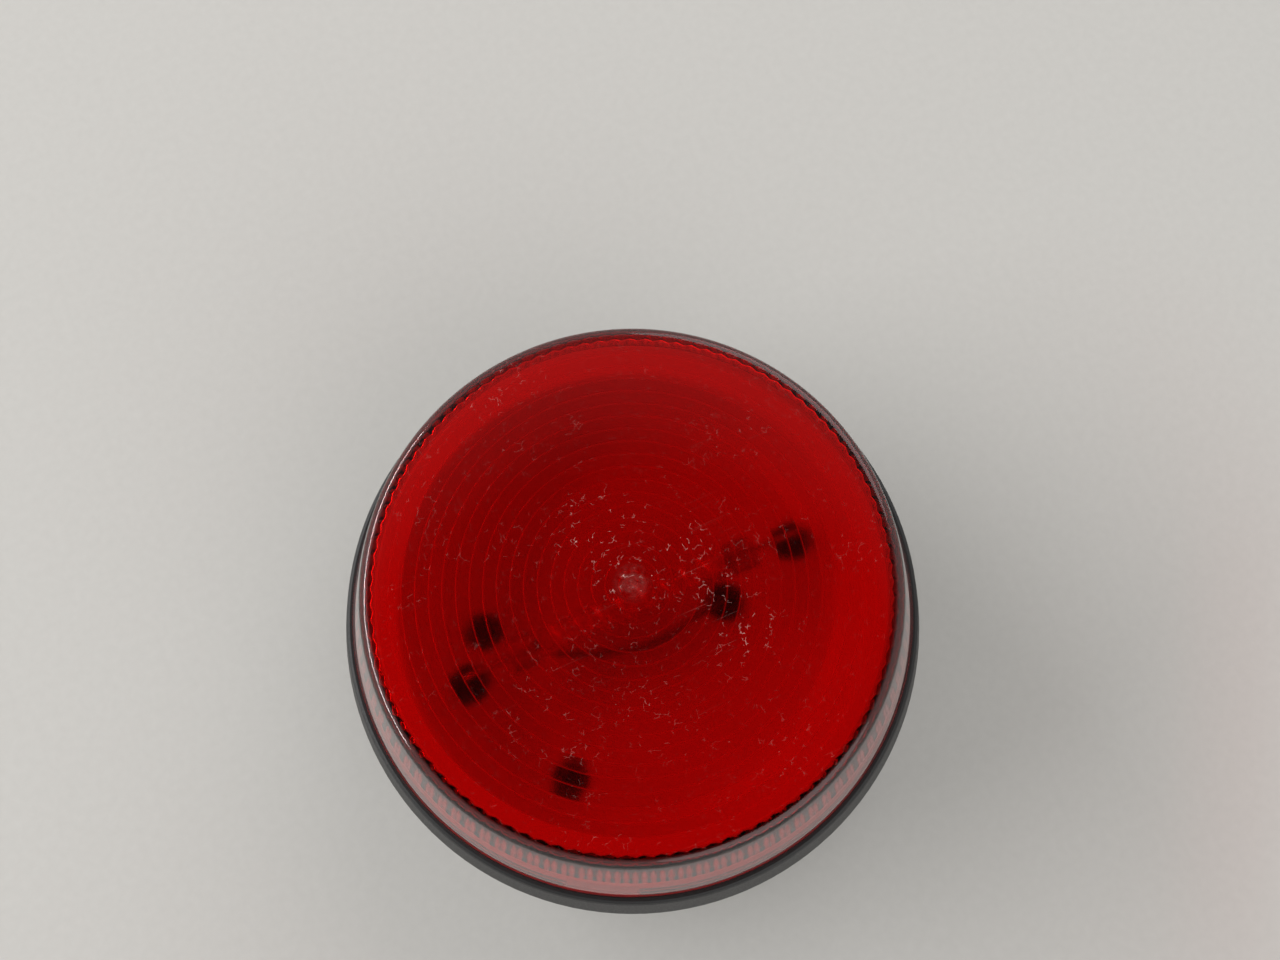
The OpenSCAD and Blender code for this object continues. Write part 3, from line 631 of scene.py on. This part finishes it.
def specks(tree, place):
    """Dust grains up to 0.2 mm wide, in three cells of ten."""
    cells = add(tree, "TexVoronoi", {"Vector": place, "Scale": 1 / (SPECK_CELL_MM * MM)})
    lot = add(tree, "SeparateXYZ", {0: cells.outputs["Color"]}).outputs["X"]
    radius_in_cells = ramp(tree, lot, 0.7, 1.0, 0.0, 0.06)
    return maths(tree, "LESS_THAN", cells.outputs["Distance"], radius_in_cells)


def scratches(tree, place, heading):
    """Hairline scratches that run one way: a noise drawn out along it, with only its peaks."""
    drawn_out = add(tree, "Mapping", {"Vector": place, "Rotation": (0, 0, heading),
                                      "Scale": (0.1, 8.0, 1.0)}).outputs["Vector"]
    return ramp(tree, noise(tree, drawn_out, SCRATCH_MM, 1.0), 0.76, 0.79)


print("marks: lint, specks, scratches")

# %% [markdown]
# ## Where the marks lie
# The photograph shows most of the lint round the middle and to its right, and a thin film of
# dust elsewhere. The gate of the mould left a small hazy spot in the very middle. All of it lies
# on what faces up, so the marks fade out down the rounded rim.

# %% Marks on the top of the lens
LENS_TOP_Z = 68.0
MARKS_FROM_Z = LENS_TOP_Z - 2.2
MARKS_FULL_Z = LENS_TOP_Z - 1
# Where lint has gathered: x, y and how far it reaches, mm
DUSTY_PLACES = ((0, 0, 8), (-2, 10, 9), (12, -6, 9), (13, -14, 7), (10, 3, 6))
DUST_PATCH_MM = 12
SCRATCH_HEADINGS = (0.5, 2.2)
SCRATCH_STRENGTH = 0.15
GATE_HAZE = 0.08
GATE_HAZE_R = 3.4


def where_dusty(tree, place, axes):
    """How thick the dust lies: thin and patchy all over, and thick at the dusty places."""
    dusty = ramp(tree, noise(tree, place, DUST_PATCH_MM, 2.0), 0.45, 0.7, 0.05, 0.3)
    for x_mm, y_mm, reach_mm in DUSTY_PLACES:
        near = ramp(tree, radius_from(tree, axes, x_mm, y_mm), 1 * MM, reach_mm * MM, 1, 0)
        dusty = maths(tree, "MAXIMUM", dusty, near)
    return dusty


def marks_on_top(tree, place, axes, radius):
    """Dust, fine scratches and the haze of the gate, only on what faces up."""
    dusty = where_dusty(tree, place, axes)
    dust = maths(tree, "MAXIMUM", lint(tree, place), specks(tree, place))
    dust = maths(tree, "MULTIPLY", dust, dusty)
    one_way, other_way = (scratches(tree, place, heading) for heading in SCRATCH_HEADINGS)
    fine = maths(tree, "MAXIMUM", one_way, other_way)
    fine = maths(tree, "MULTIPLY", fine, maths(tree, "MULTIPLY", dusty, SCRATCH_STRENGTH))
    haze = ramp(tree, noise(tree, place, 1.2), 0.35, 0.75, 0.0, GATE_HAZE)
    fading = ramp(tree, radius, 0.5 * MM, GATE_HAZE_R * MM, 1.0, 0.0)
    marks = maths(tree, "MAXIMUM", maths(tree, "MAXIMUM", dust, fine),
                  maths(tree, "MULTIPLY", haze, fading))
    upward = ramp(tree, axes["Z"], MARKS_FROM_Z * MM, MARKS_FULL_Z * MM)
    return maths(tree, "MULTIPLY", marks, upward)


print("dusty places:", len(DUSTY_PLACES))

# %% [markdown]
# ## Red polycarbonate
# The lens is clear resin with red dye all through it, so its colour belongs inside, as a volume
# that takes green and blue out of every millimetre. Thick places come out darker for free, which
# is why the rim looks maroon. The marks stop some of the light, and so do the edges of the prism
# rings, which a mould never polishes as well as their faces.

# %% Red polycarbonate
LENS_INDEX = 1.585
# At this density green and blue fall to a third in 0.7 mm of resin
DYE_DENSITY = 1500.0
UNDER_Z = LENS_TOP_Z - 2.6
UNDER_MARGIN = 0.05
RING_PITCH = 2.2
RING_COUNT = 18
RING_FACE_ROUGHNESS = 0.2
RIDGE_DULLNESS = 0.15
FILM_PATCH_MM = 9


def under_rings(tree, height, radius):
    """1 on the underside of the prism rings, 0 elsewhere on the lens."""
    within = below(tree, radius, RING_PITCH * (RING_COUNT + 0.5))
    return maths(tree, "MULTIPLY", within, below(tree, height, UNDER_Z + UNDER_MARGIN))


def dull_ridges(tree, radius):
    """The edges of the prism rings, which the mould's own sharp grooves leave a little dull."""
    from_edge = maths(tree, "PINGPONG", radius, RING_PITCH / 2 * MM)
    return ramp(tree, from_edge, 0.08 * MM, 0.2 * MM, RIDGE_DULLNESS, 0.0)


def red_polycarbonate():
    """Red dye all through the resin; the base colour is that of dust, which stops the light,
    whitish with a pink tint that is painted light for the red glow the dust catches from the
    lens.
    """
    material, tree, shader, place = new_finish(
        "red_polycarbonate_polished_moulded", IOR=LENS_INDEX)
    # Whitish dust with a painted pink glow, standing for the red light that dust on a red lens
    # catches
    shader.inputs["Base Color"].default_value = linear("#f4c8c0")
    axes = add(tree, "SeparateXYZ", {0: place}).outputs
    radius = radius_from(tree, axes, 0, 0)
    underside = under_rings(tree, axes["Z"], radius)
    ridges = maths(tree, "MULTIPLY", underside, dull_ridges(tree, radius))
    marks = maths(tree, "MAXIMUM", marks_on_top(tree, place, axes, radius), ridges)
    tree.links.new(ramp(tree, marks, 0, 1, 1, 0), shader.inputs["Transmission Weight"])
    film = ramp(tree, noise(tree, place, FILM_PATCH_MM), 0.35, 0.65, 0.02, 0.06)
    matt = maths(tree, "MULTIPLY", underside, RING_FACE_ROUGHNESS)
    rough = maths(tree, "MAXIMUM", maths(tree, "MAXIMUM", film, matt), marks)
    tree.links.new(rough, shader.inputs["Roughness"])
    output = let_light_in(tree, shader, "#f4f4f4")
    dye = add(tree, "VolumeAbsorption", {"Color": linear("#fa0000"), "Density": DYE_DENSITY})
    tree.links.new(dye.outputs[0], output.inputs["Volume"])
    return material


finishes["lens"] = red_polycarbonate()
print("finishes so far:", len(finishes))

# %% [markdown]
# ## Dressing the frame's own solids
# The solids already have the right shapes. Only their materials change, so each one's slots are
# filled with the finish of the same name.

# %% Put the finishes on the solids
for node_name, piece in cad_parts.items():
    for slot in piece.material_slots:
        slot.material = finishes[node_name]
print("dressed:", len(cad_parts), "pieces")

# %% [markdown]
# ## Turned meshes
# Most of the beacon was turned or moulded round one axis. The lens needs a much finer mesh than
# its solid carries, since refraction shows every facet. It is made as one closed skin: an outline
# in millimetres is swept round the axis, and where a ring of points belongs to the flutes or the
# lugs, its radius changes from column to column.

# %% Helper for turned meshes
def turned(name, outline, columns, sharp_degrees=32):
    """One closed skin from an outline that starts and ends on the axis. A radius may be an
    array with one value for each column."""
    angle = np.arange(columns) * 2 * np.pi / columns
    rings = [(np.broadcast_to(np.asarray(r, float), columns), z) for r, z in outline[1:-1]]
    points = [(0, 0, outline[0][1])]
    for radius, z in rings:
        points += list(zip(radius * np.cos(angle), radius * np.sin(angle), [z] * columns))
    points.append((0, 0, outline[-1][1]))
    last = len(points) - 1
    faces = []
    for column in range(columns):
        after = (column + 1) % columns
        faces.append((0, 1 + column, 1 + after))
        for ring in range(len(rings) - 1):
            low, high = 1 + ring * columns, 1 + (ring + 1) * columns
            faces.append((low + column, high + column, high + after, low + after))
        faces.append((last, last - columns + after, last - columns + column))
    mesh = bpy.data.meshes.new(name)
    mesh.from_pydata((np.array(points) * MM).tolist(), [], faces)
    mesh.shade_smooth()
    mesh.set_sharp_from_angle(angle=math.radians(sharp_degrees))
    piece = bpy.data.objects.new(name, mesh)
    bpy.context.collection.objects.link(piece)
    return piece


print("helper: turned")

# %% [markdown]
# ## The lens moulding
# From above, the lens is a flat window with eighteen prism rings under it, each a shallow ramp
# with a steep step. A plain border joins the rings to the side, whose inner face carries one
# hundred upright flutes down to a plain band. Three lugs stand inside the band and hold the lens
# on its base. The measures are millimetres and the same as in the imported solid.

# %% Lens measures
LENS_LOW_Z = 46.3
LENS_TOP_R = 43.8
LENS_LOW_R = 49.8
LENS_TAPER = (LENS_LOW_R - LENS_TOP_R) / (LENS_TOP_Z - LENS_LOW_Z)
WALL = 2.1


def outside_r(z):
    return LENS_TOP_R + (LENS_TOP_Z - z) * LENS_TAPER


def inside_r(z):
    return outside_r(z) - WALL


print("lens wall at its lower edge, mm:",
      round(inside_r(LENS_LOW_Z), 2), "to", round(outside_r(LENS_LOW_Z), 2))

# %% [markdown]
# ## Prism rings
# Cut into rings and laid flat, the curved face of a thick lens still bends light the same way.
# The further out a ring lies, the steeper its face has to be, so its depth grows outwards. Its
# sharp edge is rounded a little over a few points, as in a real moulding, because a perfect edge
# would catch no light.

# %% Prism rings
RING_FOCUS = 600
LEAST_RING_DEPTH = 0.1
RISER_W = 0.03
RIDGE_BLEND = 0.1
RIDGE_STEPS = (0, 0.3, 0.6, 1)


def ring_depth(i):
    """A ring's face slopes as a thin lens of the focal length RING_FOCUS would there."""
    return max(LEAST_RING_DEPTH,
               RING_PITCH ** 2 * (i + 0.5) / (RING_FOCUS * (LENS_INDEX - 1)))


def ridge(i):
    """The rounded edge between the long face of ring i and its short steep one."""
    tip = Vector((i * RING_PITCH + RISER_W, UNDER_Z - ring_depth(i)))
    face = tip.lerp(Vector(((i + 1) * RING_PITCH, UNDER_Z)), RIDGE_BLEND / RING_PITCH)
    step = tip.lerp(Vector((i * RING_PITCH, UNDER_Z)), 0.5)
    return [tuple(face.lerp(tip, t).lerp(tip.lerp(step, t), t)) for t in RIDGE_STEPS]


print("rings:", RING_COUNT, "depths, mm:", [round(ring_depth(i), 2) for i in (0, 8, 17)])

# %% [markdown]
# ## The outer side of the lens
# The outline starts in the middle of the top, with the small hollow and the fine groove that the
# gate left. From there it follows the slightly crowned top, the round rim and the tapered wall,
# down to a small rounded edge.

# %% Outline of the lens's outer side
# The gate's hollow and the groove round it: radius and depth under the top
GATE_PROFILE = ((0, 0.25), (0.5, 0.25), (0.82, 0.2), (0.95, 0.03), (1.15, 0), (2.7, 0),
                (2.9, 0.01), (3.05, 0.03), (3.25, 0.03), (3.4, 0.01), (3.6, 0))
CROWN_RISE = 0.5
CROWN_FROM_R = 5
CROWN_POINTS = 12
RIM_R = 2.0
RIM_POINTS = 12
WALL_FROM_Z = 62
WALL_POINTS = 6
EDGE_R = 0.4
# The point halfway round the lower edge: how far inside the wall and above the lower face
EDGE_HALFWAY = (0.12, 0.11)
taper_angle = math.atan(LENS_TAPER)
rim_z = LENS_TOP_Z - CROWN_RISE - RIM_R
rim_x = outside_r(rim_z) - RIM_R / math.cos(taper_angle)


def crown_z(r):
    return LENS_TOP_Z - CROWN_RISE * (r / rim_x) ** 2


outer_side = [(r, LENS_TOP_Z - depth) for r, depth in GATE_PROFILE]
outer_side += [(r, crown_z(r)) for r in np.linspace(CROWN_FROM_R, rim_x, CROWN_POINTS)]
for step in range(1, RIM_POINTS + 1):
    a = math.pi / 2 - (math.pi / 2 - taper_angle) * step / RIM_POINTS
    outer_side.append((rim_x + RIM_R * math.cos(a), rim_z + RIM_R * math.sin(a)))
outer_side += [(outside_r(z), z)
               for z in np.linspace(WALL_FROM_Z, LENS_LOW_Z + EDGE_R, WALL_POINTS)]
low_r = outside_r(LENS_LOW_Z)
outer_side += [(low_r - EDGE_HALFWAY[0], LENS_LOW_Z + EDGE_HALFWAY[1]),
               (low_r - EDGE_R, LENS_LOW_Z)]
print("outer rings:", len(outer_side))

# %% [markdown]
# ## Flutes and lugs
# Flutes and lugs can't be turned. In their rings each column of points has its own radius: a
# flute is four columns wide and shaped like a V, and a lug takes all columns within seven
# degrees of its middle.

# %% Columns of the flutes and the lugs
FLUTES = 100
FLUTE_DEPTH = 0.35
COLUMNS_PER_FLUTE = 4
LENS_COLUMNS = FLUTES * COLUMNS_PER_FLUTE
BAND_STEP = 0.15
LUG_IN_R = 44.95
LUG_HALF_ANGLE = 7
LUG_SPACING = 120
column_degrees = np.arange(LENS_COLUMNS) * 360 / LENS_COLUMNS
from_lug = np.abs((column_degrees + LUG_SPACING / 2) % LUG_SPACING - LUG_SPACING / 2)
in_lug = from_lug <= LUG_HALF_ANGLE
# How deep each column lies in its V-shaped flute, from 0 on the crest to 1 in the valley
along_flute = (np.arange(LENS_COLUMNS) % COLUMNS_PER_FLUTE) / COLUMNS_PER_FLUTE
flute_wave = 1 - np.abs(2 * along_flute - 1)


def band_r(z):
    return inside_r(z) + BAND_STEP


def lug_or_band(z):
    return np.where(in_lug, LUG_IN_R, band_r(z))


def fluted_r(z):
    return inside_r(z) - FLUTE_DEPTH * (1 - flute_wave)


print("columns:", LENS_COLUMNS, "of which in lugs:", int(in_lug.sum()))

# %% [markdown]
# ## The inner side of the lens
# Inside, the outline goes up again: over the plain band with its lugs, the flutes and the border
# to the prism rings, and then from the outermost ring to the middle. The lugs' faces lean by a
# few hundredths of a millimetre, because level ones would leave faces without any area in the
# band between the lugs.

# %% Outline of the lens's inner side
LOW_CHAMFER = 0.25
LUG_LOW_Z, LUG_TOP_Z = 47.4, 49.6
LUG_FACE_OUTSIDE, LUG_FACE_INSIDE = 0.02, 0.03
# The plain band takes this share of the lens's height
BAND_SHARE = 0.4
BAND_Z = LENS_LOW_Z + BAND_SHARE * (LENS_TOP_Z - LENS_LOW_Z)
BAND_POINTS_Z = (52, BAND_Z - 0.1)
FLUTE_POINTS = 8
FLUTE_TOP_Z = UNDER_Z - 0.35
# Height and inner radius of the plain border between the flutes and the rings
BORDER_Z = UNDER_Z - 0.15
BORDER_R = 41.2
BORDER_CORNER = 0.25
inner_side = [(band_r(LENS_LOW_Z) + LOW_CHAMFER, LENS_LOW_Z),
              (band_r(LENS_LOW_Z), LENS_LOW_Z + LOW_CHAMFER),
              (band_r(LUG_LOW_Z), LUG_LOW_Z - LUG_FACE_OUTSIDE),
              (lug_or_band(LUG_LOW_Z), LUG_LOW_Z + LUG_FACE_INSIDE),
              (lug_or_band(LUG_TOP_Z), LUG_TOP_Z - LUG_FACE_INSIDE),
              (band_r(LUG_TOP_Z), LUG_TOP_Z + LUG_FACE_OUTSIDE)]
inner_side += [(band_r(z), z) for z in BAND_POINTS_Z]
inner_side += [(fluted_r(z), z) for z in np.linspace(BAND_Z, FLUTE_TOP_Z, FLUTE_POINTS)]
inner_side += [(fluted_r(UNDER_Z) - BORDER_CORNER, BORDER_Z), (BORDER_R, BORDER_Z),
               (RING_PITCH * RING_COUNT + RISER_W, BORDER_Z)]
for i in reversed(range(RING_COUNT)):
    inner_side += [((i + 1) * RING_PITCH, UNDER_Z)] + ridge(i)
inner_side.append((0, UNDER_Z - ring_depth(0)))
print("inner rings:", len(inner_side))

# %% [markdown]
# ## Putting the lens in its place
# The fine mesh stands in for the imported solid, which stays hidden for collision. It turns with
# the lens body and takes the lens's finish.

# %% Make the lens
lens = turned("lens_moulding", outer_side + inner_side, LENS_COLUMNS)
lens.data.materials.append(finishes["lens"])
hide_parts("lens")
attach(lens, "lens")
print("lens faces:", len(lens.data.polygons), "size, mm:",
      [round(v / MM, 2) for v in lens.dimensions])

# %% [markdown]
# ## Last lines
# Last, the view layer is brought up to date and the view transform is set to Standard.

# %% View layer and view transform
bpy.context.view_layer.update()
bpy.context.scene.view_settings.view_transform = "Standard"
